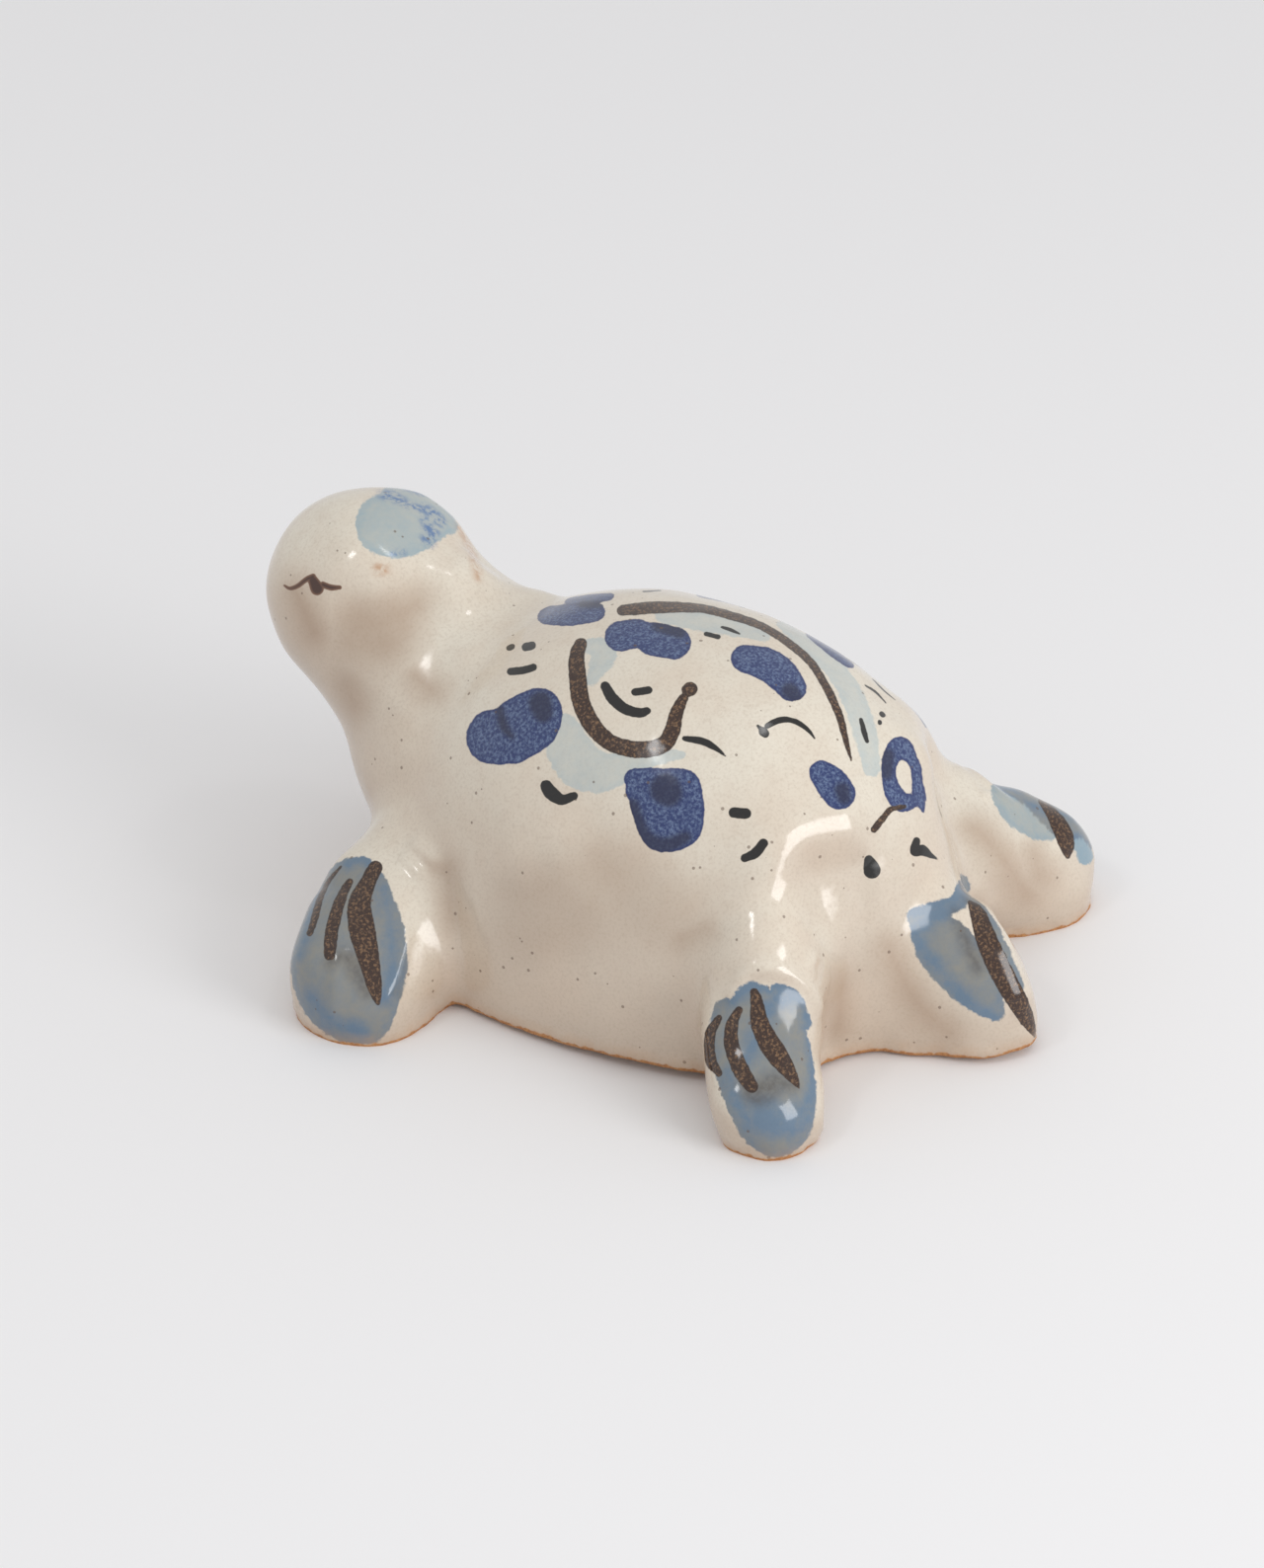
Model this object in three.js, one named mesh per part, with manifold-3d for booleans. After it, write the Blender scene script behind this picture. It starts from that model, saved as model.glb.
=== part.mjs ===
// A small glazed stoneware turtle, about 90 mm from nose to tail, as a potter puts it together:
// a hollow body pressed over a form, and a head with its neck, four feet and a tail, each a
// rolled lump of clay that is scored and luted on to the body before the glaze firing.
// Millimetres, +Z up. The turtle stands on z = 0 and faces -Y, and its left side is +X.

import * as THREE from 'three';
import { mergeVertices } from 'three/addons/utils/BufferGeometryUtils.js';
import Module from 'manifold-3d';

const wasm = await Module();
wasm.setup();

// The pressed body: an upturned bowl with an uneven rim that hangs just clear of the table.
const bodyLength = 65;
const bodyWidth = 48.6;
const bodyHeight = 37;
const wallThickness = 4.5;
const rimLift = 0.55;
const rimWave = 0.35;
const rimWaves = 5;
const planFullness = 2.3;
const domeFullness = 2.25;

// Where the potter's fingers press the wall in, between each rear foot and the tail.
const pinchTurn = 63;
const pinchSpread = 15;
const pinchDepth = 3.6;

// The head and neck, one rolled lump. The head's middle lies a reach ahead of the body's front rim,
// and the throat is where the neck is narrowest, behind and below the head's middle. The root lies
// behind the rim, inside the body's front, and the lump starts deeper still.
const headWidth = 21.6;
const headReach = 4.3;
const headHeight = 30.4;
const throatWidth = 23.2;
const throatBack = 7.3;
const throatDrop = 5.7;
const neckRootWidth = 31.6;
const neckRootBury = 10.4;
const neckRootDrop = 12;
const neckStartBury = 19.5;
const neckStartDrop = 15.6;

// The feet. Each leaves the rim at a turn about the body, measured from its left or right side
// towards the tail, and its nose lies a reach away from the rim.
const footNoseHeight = 2.6;
const frontFoot = { turn: -35, splay: 0, reach: 7.1, slope: 28, noseWidth: 14.8, hipWidth: 15.5 };
const rearLeftFoot = { turn: 39, splay: 33, reach: 7.8, slope: 38, noseWidth: 10.4, hipWidth: 14 };
const rearRightFoot = { turn: 44, splay: 31, reach: 8.5, slope: 29, noseWidth: 14.8, hipWidth: 16.6 };
const hipBury = 12;

// The tail, a broad pinched point that reaches behind the rear rim and droops at its tip. Its taper
// gives the share of the root's width and height that is left at four places along it.
const tailReach = 9.3;
const tailBury = 20;
const tailRootWidth = 23.4;
const tailRootHeight = 21.7;
const tailTaper = [1, 0.95, 0.62, 0.3];
const tailTip = 6;
const tailDroop = 1;
const tailLift = 0.5;

// Lumps are cut this far clear of what they are luted to.
const jointGap = 0.3;

// How finely the shapes are faceted: points around the body, its rings from crown to rim outside
// and inside, and a lump's points around and along.
const bodyFacets = 72;
const outerRings = 24;
const innerRings = 12;
const lumpFacets = 32;
const lumpRings = 22;
const headFacets = 40;
const headRings = 36;

// A block that stands for the table, which the soles are pressed flat on.
const floorSize = 300;
const floorDepth = 40;
const glaze = { colour: 0xd9cfc0, roughness: 0.15 };

const { degToRad } = THREE.MathUtils;

// A closed mesh as a manifold-3d solid. Points nearer to each other than this are one point.
const samePoint = 1e-4;
function solidOf(geometry) {
  const bare = geometry.clone();
  bare.deleteAttribute('normal');
  bare.deleteAttribute('uv');
  const merged = mergeVertices(bare, samePoint);
  return new wasm.Manifold(new wasm.Mesh({
    numProp: 3,
    vertProperties: new Float32Array(merged.attributes.position.array),
    triVerts: new Uint32Array(merged.index.array),
  }));
}

// A manifold-3d solid back as three.js geometry.
function geometryOf(solid) {
  const mesh = solid.getMesh();
  const geometry = new THREE.BufferGeometry();
  geometry.setAttribute('position', new THREE.BufferAttribute(mesh.vertProperties, 3));
  geometry.setIndex(new THREE.BufferAttribute(mesh.triVerts, 1));
  geometry.computeVertexNormals();
  return geometry;
}

// A smooth curve through evenly spaced values, read at a share from 0 to 1.
function throughValues(values) {
  const curve = new THREE.CatmullRomCurve3(values.map((value) => new THREE.Vector3(value, 0, 0)));
  return (share) => curve.getPoint(share).x;
}

// A lump rolled in the hand: an oval section carried along a spine, blunt at the root that the body
// hides and round at the other end. tip is how long the rounding is, and grow swells the whole lump.
const rootPoleSquare = 0.1;
function rolledLump({ spine, side, wide, thick, tip, grow = 0, around = lumpFacets, along = lumpRings }) {
  const curve = new THREE.CatmullRomCurve3(spine.map((point) => new THREE.Vector3(...point)));
  const tipShare = tip / curve.getLength();
  const wideAt = throughValues(wide);
  const thickAt = throughValues(thick);
  const sideways = new THREE.Vector3(...side).normalize();
  const geometry = new THREE.SphereGeometry(1, around, along);
  const position = geometry.attributes.position;
  const ball = new THREE.Vector3();
  for (let i = 0; i < position.count; i++) {
    ball.fromBufferAttribute(position, i);
    const share = ball.y > 0 ? 1 - tipShare * (1 - ball.y) : (1 - tipShare) * (1 + ball.y);
    const blunt = ball.y > 0 ? 1 : 1 / Math.sqrt(Math.max(1 - ball.y ** 2, rootPoleSquare));
    const centre = curve.getPointAt(THREE.MathUtils.clamp(share, 0, 1));
    const ahead = curve.getTangentAt(THREE.MathUtils.clamp(share, 0, 1));
    const across = sideways.clone().addScaledVector(ahead, -sideways.dot(ahead)).normalize();
    const outward = across.clone().cross(ahead);
    centre.addScaledVector(across, -ball.x * blunt * (wideAt(share) + grow));
    centre.addScaledVector(outward, -ball.z * blunt * (thickAt(share) + grow));
    centre.addScaledVector(ahead, ball.y * grow);
    position.setXYZ(i, centre.x, centre.y, centre.z);
  }
  return solidOf(geometry);
}

function signedPower(value, exponent) {
  return Math.sign(value) * Math.abs(value) ** exponent;
}

// Where the dome's surface is, at a turn about its axis and a fall from the crown down to the rim.
function domePoint(turn, fall, inset) {
  const reach = Math.sin(fall) ** (2 / domeFullness);
  const rise = Math.cos(fall) ** (2 / domeFullness);
  const rim = rimLift + rimWave * Math.sin(rimWaves * turn);
  const fromTail = Math.abs(Math.PI / 2 - turn);
  const fromPinch = (fromTail - degToRad(90 - pinchTurn)) / degToRad(pinchSpread);
  const pinch = pinchDepth * Math.exp(-fromPinch * fromPinch) * (1 - rise);
  return [
    ((bodyWidth - pinch) / 2 - inset) * reach * signedPower(Math.cos(turn), 2 / planFullness),
    ((bodyLength / 2 - inset) * reach - pinch) * signedPower(Math.sin(turn), 2 / planFullness),
    rim + (bodyHeight - inset - rim) * rise,
  ];
}

// A solid lofted through rings of points, each ring an array of as many [x, y, z], with flat ends.
function loftedSolid(rings) {
  const around = rings[0].length;
  const index = [];
  for (let i = 0; i < rings.length - 1; i++) {
    for (let j = 0; j < around; j++) {
      const here = i * around + j;
      const beside = i * around + (j + 1) % around;
      index.push(here, here + around, beside, beside, here + around, beside + around);
    }
  }
  const last = (rings.length - 1) * around;
  for (let j = 1; j < around - 1; j++) {
    index.push(0, j, j + 1, last, last + j + 1, last + j);
  }
  const geometry = new THREE.BufferGeometry();
  geometry.setAttribute('position', new THREE.Float32BufferAttribute(rings.flat(2), 3));
  geometry.setIndex(index);
  return solidOf(geometry);
}

function domeRing(fall, inset) {
  const turns = Array.from({ length: bodyFacets }, (_, j) => j / bodyFacets * 2 * Math.PI);
  return turns.map((turn) => domePoint(turn, fall, inset));
}

// Rings from a small one round the crown down to the rim. The crown ring is a part of a step out.
const crownStep = 0.15;
function domeRings(inset, count) {
  const steps = Array.from({ length: count }, (_, i) => (i + crownStep) / (count - 1 + crownStep));
  return steps.map((step) => domeRing(step * Math.PI / 2, inset));
}

// The space under the dome's outer face, run down through the floor: what no luted lump may enter.
function domeSpace(inset) {
  const rings = domeRings(inset, outerRings);
  const rim = rings[rings.length - 1];
  return loftedSolid([...rings, rim.map(([x, y]) => [x, y, -floorDepth])]);
}

const body = loftedSolid([...domeRings(0, outerRings), ...domeRings(wallThickness, innerRings).reverse()]);
const clearOfBody = domeSpace(-jointGap);
const table = new THREE.BoxGeometry(floorSize, floorSize, floorDepth).translate(0, 0, -floorDepth / 2);
const floor = solidOf(table);

// Head with its neck: it climbs out of the body's front and ends in a ball.
const headRadius = headWidth / 2;
const frontRim = -bodyLength / 2;
const headMiddle = [0, frontRim - headReach, headHeight];
const noseUp = Math.atan2(throatDrop, throatBack);
const neckRadii = [neckRootWidth / 2, neckRootWidth / 2, throatWidth / 2, headRadius, headRadius];
const headLump = {
  spine: [
    [0, frontRim + neckStartBury, headHeight - neckStartDrop],
    [0, frontRim + neckRootBury, headHeight - neckRootDrop],
    [0, headMiddle[1] + throatBack, headHeight - throatDrop],
    headMiddle,
    [0, headMiddle[1] - headRadius * Math.cos(noseUp), headHeight + headRadius * Math.sin(noseUp)],
  ],
  side: [1, 0, 0],
  wide: neckRadii,
  thick: neckRadii,
  tip: headRadius,
  around: headFacets,
  along: headRings,
};
const head = rolledLump(headLump).subtract(clearOfBody).subtract(floor);
const clearOfHead = rolledLump({ ...headLump, grow: jointGap });

// A foot: a thumb of clay that slopes down out of the body and is pressed flat on the table.
// sideSign is 1 on the turtle's left and -1 on its right.
function foot(sideSign, { turn, splay, reach, slope, noseWidth, hipWidth }) {
  const [rimX, rimY] = domePoint(degToRad(turn), Math.PI / 2, 0);
  const splayed = degToRad(splay);
  const fall = Math.tan(degToRad(slope));
  const ahead = [sideSign * Math.cos(splayed), Math.sin(splayed)];
  const along = (distance) => [
    sideSign * rimX + ahead[0] * distance,
    rimY + ahead[1] * distance,
    footNoseHeight + (reach - distance) * fall,
  ];
  const noseRadius = noseWidth / 2;
  const hipRadius = hipWidth / 2;
  const end = reach + noseRadius * Math.cos(degToRad(slope));
  const lump = rolledLump({
    spine: [along(-hipBury), along(0), along(reach), along(end)],
    side: [-ahead[1], ahead[0], 0],
    wide: [hipRadius, hipRadius, noseRadius, noseRadius],
    thick: [hipRadius, hipRadius, noseRadius, noseRadius],
    tip: noseRadius,
  });
  return lump.subtract(clearOfBody).subtract(clearOfHead).subtract(floor);
}

// Tail: it leaves the rear of the body as a broad ridge and ends in a point by the table.
function tailAt(share, height) {
  return [0, bodyLength / 2 - tailBury + share * (tailBury + tailReach), height + tailLift];
}

const tail = rolledLump({
  spine: [tailAt(0, tailDroop), tailAt(1 / 3, tailDroop), tailAt(2 / 3, tailDroop), tailAt(1, 0)],
  side: [1, 0, 0],
  wide: tailTaper.map((share) => share * tailRootWidth / 2),
  thick: tailTaper.map((share) => share * tailRootHeight),
  tip: tailTip,
}).subtract(clearOfBody).subtract(floor.translate([0, 0, tailLift]));

const figurine = new THREE.Group();

function addPiece(name, solid) {
  const finish = { color: glaze.colour, roughness: glaze.roughness, metalness: 0 };
  const material = new THREE.MeshStandardMaterial(finish);
  const mesh = new THREE.Mesh(geometryOf(solid), material);
  mesh.name = name;
  figurine.add(mesh);
}

addPiece('body', body);
addPiece('head_and_neck', head);
addPiece('front_left_foot', foot(1, frontFoot));
addPiece('front_right_foot', foot(-1, frontFoot));
addPiece('rear_left_foot', foot(1, rearLeftFoot));
addPiece('rear_right_foot', foot(-1, rearRightFoot));
addPiece('tail', tail);

const box = new THREE.Box3().setFromObject(figurine);
const middle = box.getCenter(new THREE.Vector3());
figurine.position.set(-middle.x, -middle.y, -box.min.z);

export default figurine;
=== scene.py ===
"""A small glazed stoneware turtle, dressed on its solids.

The seven lumps of clay are smoothed into one another as a potter's thumb does, cut apart again
along their luted joints, and given a glaze over painted marks. Metres, +Z up. The turtle faces -Y.
"""

import math

import bmesh
import bpy
import numpy as np
from bpy.props import FloatProperty, FloatVectorProperty, IntProperty, PointerProperty
from mathutils import Matrix, Vector
from mathutils.bvhtree import BVHTree
from mathutils.interpolate import poly_3d_calc
from mathutils.kdtree import KDTree


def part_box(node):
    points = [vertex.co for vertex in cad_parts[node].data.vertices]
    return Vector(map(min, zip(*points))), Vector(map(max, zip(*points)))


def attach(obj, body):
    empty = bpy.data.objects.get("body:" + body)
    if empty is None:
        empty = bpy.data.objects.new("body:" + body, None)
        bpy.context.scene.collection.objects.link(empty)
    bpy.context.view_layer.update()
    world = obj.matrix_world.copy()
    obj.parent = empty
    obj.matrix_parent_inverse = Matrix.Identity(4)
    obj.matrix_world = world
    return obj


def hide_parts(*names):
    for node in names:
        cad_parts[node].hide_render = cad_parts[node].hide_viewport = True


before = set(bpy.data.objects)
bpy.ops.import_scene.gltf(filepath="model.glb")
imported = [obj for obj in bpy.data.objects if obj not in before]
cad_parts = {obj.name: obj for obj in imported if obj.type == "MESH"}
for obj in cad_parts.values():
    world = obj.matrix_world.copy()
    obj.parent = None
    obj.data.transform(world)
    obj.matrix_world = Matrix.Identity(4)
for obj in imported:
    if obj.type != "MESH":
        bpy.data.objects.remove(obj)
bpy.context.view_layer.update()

bl_info = {
    "name": "Glazed stoneware turtle",
    "version": (1, 0, 0),
    "blender": (4, 5, 0),
    "location": "3D View > Sidebar > Turtle",
    "description": "Clay skin, glaze and painted marks of a small stoneware turtle",
    "category": "Add Mesh",
}

MM = 0.001
BODY = "body"
HEAD = "head_and_neck"
TAIL = "tail"
FRONT_LEFT = "front_left_foot"
FRONT_RIGHT = "front_right_foot"
REAR_LEFT = "rear_left_foot"
REAR_RIGHT = "rear_right_foot"
FEET = (FRONT_LEFT, FRONT_RIGHT, REAR_LEFT, REAR_RIGHT)
LUMPS = (HEAD, *FEET, TAIL)

# How far from its joint each lump is smoothed into the body.
BLEND = {name: 6 * MM for name in LUMPS}
BLEND[HEAD] = 9 * MM

# Points closer than this are one point.
MERGE = 0.001 * MM
# A point lower than this belongs to a sole, and the soles run this far down through the table
# until they are cut flat.
SOLE_LEVEL = 0.01 * MM
SOLE_DEPTH = 3 * MM
# A point of a piece that lies closer than this to the skin is on it.
ON_SKIN = 0.03 * MM
# The rim's unevenness is full at the first height and gone at the second.
LOW_EDGE_FULL = 1 * MM
LOW_EDGE_TOP = 3 * MM
# How far the filled joints have risen where the glaze pools fully, in millimetres.
POOL_RISE = 1.2

# Where the clay is bare. The hollow lies this far in from the body's box, in millimetres, and is
# squared off by this power. The rim is bare where it faces down by this much below this height in
# millimetres, and a sole where it touches the table.
WALL_MIDDLE = 2.25
DOME_SQUARE = 2.3
RIM_FACING = -0.55
RIM_HEIGHT = 2.5
TABLE_HEIGHT = 0.05

# Distances to bare clay and to marks, and those to presses, are measured up to here, in millimetres.
FAR = 3.0
PRESS_REACH = 12.0

# The photograph's camera, which the painted marks are placed through. Its width, height and focal
# length are in pixels, and it stands half a metre from what it aims at.
PHOTO_WIDTH = 1280
PHOTO_HEIGHT = 1588
PHOTO_FOCUS = 5000
PHOTO_AZIMUTH = math.radians(121)
PHOTO_ELEVATION = math.radians(31)
PHOTO_DISTANCE = 500 * MM
PHOTO_TARGET = Vector((3.6, -0.125, 19.3)) * MM
SENSOR_HEIGHT = 36
CLIP_NEAR = 10 * MM
CLIP_FAR = 20
# Where a line of sight is looked along for the nearest clay, in millimetres from the target.
SIGHT_STEPS = range(-60, 61, 3)

# A mark is drawn as it shows, at so many pixels to the millimetre. One that lies aslant reaches
# back along the line of sight, but no farther than its half width over this share.
MM_PIXELS = 10
DEPTH_SHARE = 0.3
# A mark ends soon where the skin turns away from the view by more than this cosine: each unit more
# counts as so many millimetres beside the mark.
TURNED_AWAY = 0.05
AWAY_COST = 5


class PhotoView:
    """A view of the turtle that turns a pixel into a line of sight, mirrored where side is -1."""

    def __init__(self, side=1):
        azimuth = PHOTO_AZIMUTH * side
        level = math.cos(PHOTO_ELEVATION)
        rise = math.sin(PHOTO_ELEVATION)
        self.back = Vector((math.sin(azimuth) * level, -math.cos(azimuth) * level, rise))
        plain_across = Vector((math.cos(azimuth), math.sin(azimuth), 0))
        self.across = plain_across * side
        self.up = self.back.cross(plain_across)
        target = Vector((PHOTO_TARGET.x * side, PHOTO_TARGET.y, PHOTO_TARGET.z))
        self.eye = target + self.back * PHOTO_DISTANCE

    def toward(self, x, y):
        """The direction from the eye through a pixel, whose x is counted from the nose's side."""
        right = (x - PHOTO_WIDTH / 2) / PHOTO_FOCUS
        rise = (PHOTO_HEIGHT / 2 - y) / PHOTO_FOCUS
        return (self.across * right + self.up * rise - self.back).normalized()

    def seen(self, places):
        """Where points in millimetres show, in tens of pixels, about a millimetre, and how deep."""
        off = places - np.array(self.eye) / MM
        deep = -off @ np.array(self.back)
        right = PHOTO_WIDTH / 2 + PHOTO_FOCUS * (off @ np.array(self.across)) / deep
        down = PHOTO_HEIGHT / 2 - PHOTO_FOCUS * (off @ np.array(self.up)) / deep
        return np.stack([right / MM_PIXELS, down / MM_PIXELS, deep * DEPTH_SHARE], axis=1)


# Painted marks. A stroke is a row of points that the brush goes through, each a pixel of the
# photograph and the brush's half width there in millimetres. Strokes for the hidden side are set
# out in the mirror view, where the nose lies on the left as well.
LEFT_COBALT = {
    "shoulder": ((499, 746, 2.8), (512, 745, 2.9), (530, 733, 3.0), (545, 720, 2.4)),
    "shoulder, lower edge": ((520, 752, 2.2), (545, 738, 2.0), (556, 722, 1.4)),
    "nape, lower touch": ((557, 622, 1.35), (578, 622, 1.4), (601, 620, 1.2)),
    "nape, upper touch": ((579, 608, 0.75), (598, 606, 0.8), (616, 604, 0.6)),
    "back, front touch": ((629, 644, 1.7), (645, 641, 1.6)),
    "back, rear touch": ((662, 647, 1.85), (682, 651, 1.8)),
    "bean": ((755, 667, 1.5), (775, 672, 1.8), (790, 682, 1.8), (802, 696, 1.5)),
    "flank": (
        (652, 799, 1.9), (672, 797, 1.9), (690, 801, 1.9), (691, 832, 1.9), (676, 841, 1.9),
        (662, 825, 1.8),
    ),
    "flank, corners": (
        (643, 789, 1.1), (672, 789, 1.1), (698, 794, 1.1), (699, 842, 1.1), (664, 850, 1.1),
        (648, 812, 1.1),
    ),
    "pear": ((832, 783, 1.3), (842, 793, 1.7), (850, 803, 1.7)),
    "ring": (
        (921, 765, 0.8), (912, 757, 1.15), (902, 768, 0.9), (900, 785, 0.75), (904, 800, 0.95),
        (912, 812, 1.0), (922, 812, 0.8),
    ),
    "ring, tail": ((919, 762, 0.7), (927, 776, 0.6), (929, 792, 0.6), (931, 806, 0.75), (935, 822, 0.15)),
    "crest": ((712, 604, 0.7), (735, 609, 0.6), (752, 615, 0.3)),
    "crest, rear": ((822, 645, 0.7), (842, 658, 0.9), (860, 672, 0.6)),
}
LEFT_LOAD = {
    "shoulder": ((547, 712, 1.2), (550, 722, 1.0)),
    "shoulder, fold": ((506, 718, 0.4), (510, 735, 0.5), (518, 746, 0.3)),
    "nape": ((590, 612, 0.5), (606, 612, 0.5)),
    "back": ((666, 634, 0.6), (688, 640, 0.7)),
    "bean": ((800, 700, 0.9), (806, 706, 0.7)),
    "flank": ((674, 799, 1.6), (677, 803, 1.4)),
    "flank, edge": ((640, 816, 0.7), (652, 846, 0.8), (672, 856, 0.8), (694, 848, 0.6)),
    "pear": ((853, 800, 0.8), (855, 808, 0.7)),
    "ring": ((899, 765, 0.7), (898, 784, 0.6)),
}
LEFT_BROWN = {
    "arc": (
        (631, 618, 0.65), (665, 615, 0.75), (709, 616, 0.6), (742, 624, 0.55), (771, 634, 0.5),
        (797, 650, 0.5), (821, 671, 0.48), (838, 698, 0.45), (850, 725, 0.4), (857, 751, 0.3),
        (862, 770, 0.1),
    ),
    "curl": (
        (588, 652, 0.65), (584, 665, 0.8), (585, 687, 0.9), (589, 713, 0.92), (601, 736, 0.9),
        (618, 752, 0.85), (636, 758, 0.85), (656, 759, 0.85), (673, 753, 0.85), (681, 739, 0.8),
        (685, 722, 0.7), (692, 707, 0.5),
    ),
    "curl, dot": ((697, 699, 0.7), (699, 698, 0.75)),
    "dash by the ring": ((885, 840, 0.36), (893, 830, 0.34), (902, 820, 0.3), (916, 817, 0.22)),
}
LEFT_BLACK = {
    "shoulder dot": ((516, 656, 0.36), (518, 655, 0.36)),
    "shoulder dot, rear": ((533, 655, 0.5), (538, 654, 0.5)),
    "shoulder dash": ((517, 680, 0.4), (529, 679, 0.42), (540, 676, 0.4)),
    "comma in the curl": (
        (613, 695, 0.5), (620, 707, 0.58), (633, 718, 0.55), (648, 722, 0.5), (655, 720, 0.4),
    ),
    "dash in the curl": ((643, 701, 0.4), (657, 699, 0.4)),
    "leaf": ((693, 748, 0.24), (701, 749, 0.34), (712, 751, 0.38), (725, 758, 0.28), (735, 766, 0.05)),
    "hook": ((777, 735, 0.3), (791, 729, 0.32), (806, 731, 0.28), (818, 739, 0.22), (825, 748, 0.08)),
    "hook, head": ((773, 741, 0.48), (775, 743, 0.42)),
    "hook, spur": ((767, 735, 0.12), (774, 741, 0.38)),
    "comma": ((553, 796, 0.6), (558, 803, 0.72), (569, 810, 0.55), (581, 806, 0.42)),
    "flank dash": ((743, 823, 0.55), (755, 824, 0.56)),
    "flank comma": ((754, 869, 0.42), (765, 864, 0.52), (773, 854, 0.48)),
    "back dashes": ((715, 642, 0.24), (727, 645, 0.28)),
    "back dashes, upper": ((731, 635, 0.16), (740, 638, 0.2), (749, 642, 0.1)),
    "rear hair": ((876, 694, 0.1), (887, 701, 0.15), (897, 712, 0.08)),
    "rear dot": ((893, 723, 0.3), (894, 724, 0.3)),
    "rear dot, lower": ((891, 731, 0.24), (891, 732, 0.24)),
    "rear dash": ((872, 729, 0.22), (875, 741, 0.3), (878, 751, 0.2)),
    "drop": ((880, 871, 0.5), (883, 881, 0.9)),
    "dart": ((928, 852, 0.42), (926, 862, 0.48), (934, 861, 0.55), (942, 866, 0.32), (949, 870, 0.08)),
    "crest dash": ((652, 599, 0.15), (668, 598, 0.16)),
}
LEFT_WASH = {
    "under the curl": (
        (572, 738, 1.5), (576, 758, 2.3), (590, 776, 2.4), (612, 782, 2.0), (636, 774, 1.4),
        (662, 768, 0.8), (690, 764, 0.4),
    ),
    "inside the curl": ((600, 655, 1.0), (612, 660, 1.3), (606, 676, 1.0), (598, 690, 0.5)),
    "under the arc": ((672, 623, 0.9), (710, 628, 1.3), (745, 635, 1.1), (775, 645, 0.5)),
    "behind the arc": (
        (795, 634, 0.9), (833, 664, 1.2), (856, 692, 1.3), (870, 722, 1.3), (878, 750, 1.2),
        (883, 778, 0.9),
    ),
}
HEAD_WASH = {
    "cap": ((394, 531, 3.4), (408, 530, 3.5), (424, 525, 3.0), (438, 526, 2.2)),
    "cap, upper edge": ((400, 500, 1.3), (425, 503, 1.2), (446, 514, 1.0), (456, 532, 0.9)),
}
HEAD_STAIN = {
    "cap, front touch": ((386, 500, 0.5), (396, 502, 0.7), (406, 506, 0.5), (412, 512, 0.3)),
    "cap, rear touch": ((418, 513, 0.4), (428, 515, 0.5), (438, 520, 0.6), (446, 528, 0.6)),
    "cap, side touch": ((430, 527, 0.45), (434, 536, 0.55), (430, 546, 0.4)),
    "cap, low touch": ((440, 540, 0.5), (436, 552, 0.4)),
    "cap, top touch": ((412, 496, 0.3), (428, 500, 0.35)),
    "cap, under edge": ((398, 560, 0.3), (408, 560, 0.3)),
}
EYE = {
    "lash": ((288, 593, 0.12), (294, 596, 0.2), (302, 593, 0.25), (310, 587, 0.28), (317, 584, 0.32)),
    "pupil": ((317, 588, 0.55), (321, 596, 0.7)),
    "tail of the eye": ((327, 592, 0.32), (335, 595, 0.32), (344, 595, 0.22)),
}
FRONT_FOOT_WASH = {
    "middle": (
        (366, 882, 1.5), (352, 905, 3.4), (346, 940, 4.6), (346, 985, 4.9), (356, 1015, 4.2),
        (370, 1035, 2.4),
    ),
    "inner edge": ((382, 890, 0.8), (392, 930, 1.4), (398, 970, 1.5), (394, 1005, 1.3), (384, 1032, 1.4)),
    "outer edge": ((332, 890, 1.2), (318, 925, 1.8), (311, 965, 2.0), (318, 1010, 1.8), (336, 1036, 1.4)),
}
FRONT_FOOT_BROWN = {
    "outer": ((345, 878, 0.12), (333, 892, 0.28), (324, 910, 0.38), (318, 932, 0.4), (314, 945, 0.34)),
    "middle": ((354, 893, 0.36), (346, 908, 0.55), (339, 929, 0.65), (335, 950, 0.68), (334, 967, 0.58)),
    "inner": (
        (380, 879, 0.75), (372, 895, 0.85), (364, 915, 1.15), (366, 938, 1.35), (371, 961, 1.2),
        (376, 983, 0.95), (380, 1003, 0.68), (383, 1016, 0.25),
    ),
}
REAR_FOOT_WASH = {
    "upper": (
        (762, 1010, 1.6), (766, 1030, 3.2), (774, 1060, 4.6), (780, 1098, 4.7), (785, 1130, 4.0),
        (788, 1150, 2.2),
    ),
    "outer edge": ((733, 1020, 0.9), (728, 1045, 1.2), (738, 1080, 1.6), (752, 1120, 1.6)),
    "top edge": ((788, 1003, 0.8), (804, 1013, 0.9), (814, 1036, 0.8)),
}
REAR_FOOT_BROWN = {
    "outer": (
        (728, 1031, 0.34), (720, 1044, 0.56), (718, 1060, 0.62), (720, 1075, 0.62), (728, 1087, 0.36),
    ),
    "middle": (
        (748, 1023, 0.4), (742, 1036, 0.62), (740, 1053, 0.76), (744, 1069, 0.8), (752, 1087, 0.84),
        (761, 1100, 0.7),
    ),
    "inner": (
        (764, 1005, 0.45), (767, 1019, 0.72), (769, 1035, 0.9), (776, 1051, 1.05), (786, 1067, 1.1),
        (796, 1081, 0.85), (804, 1093, 0.5), (809, 1102, 0.1),
    ),
}
TAIL_WASH = {
    "side": ((940, 938, 1.9), (956, 958, 2.9), (974, 980, 2.9), (992, 1004, 2.2), (1008, 1024, 1.0)),
    "top": ((924, 928, 0.7), (945, 922, 0.9), (968, 915, 0.9), (976, 900, 0.9), (973, 888, 0.35)),
    "far edge": ((985, 912, 0.6), (1003, 935, 0.6), (1020, 968, 0.5), (1034, 1000, 0.4)),
}
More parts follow.
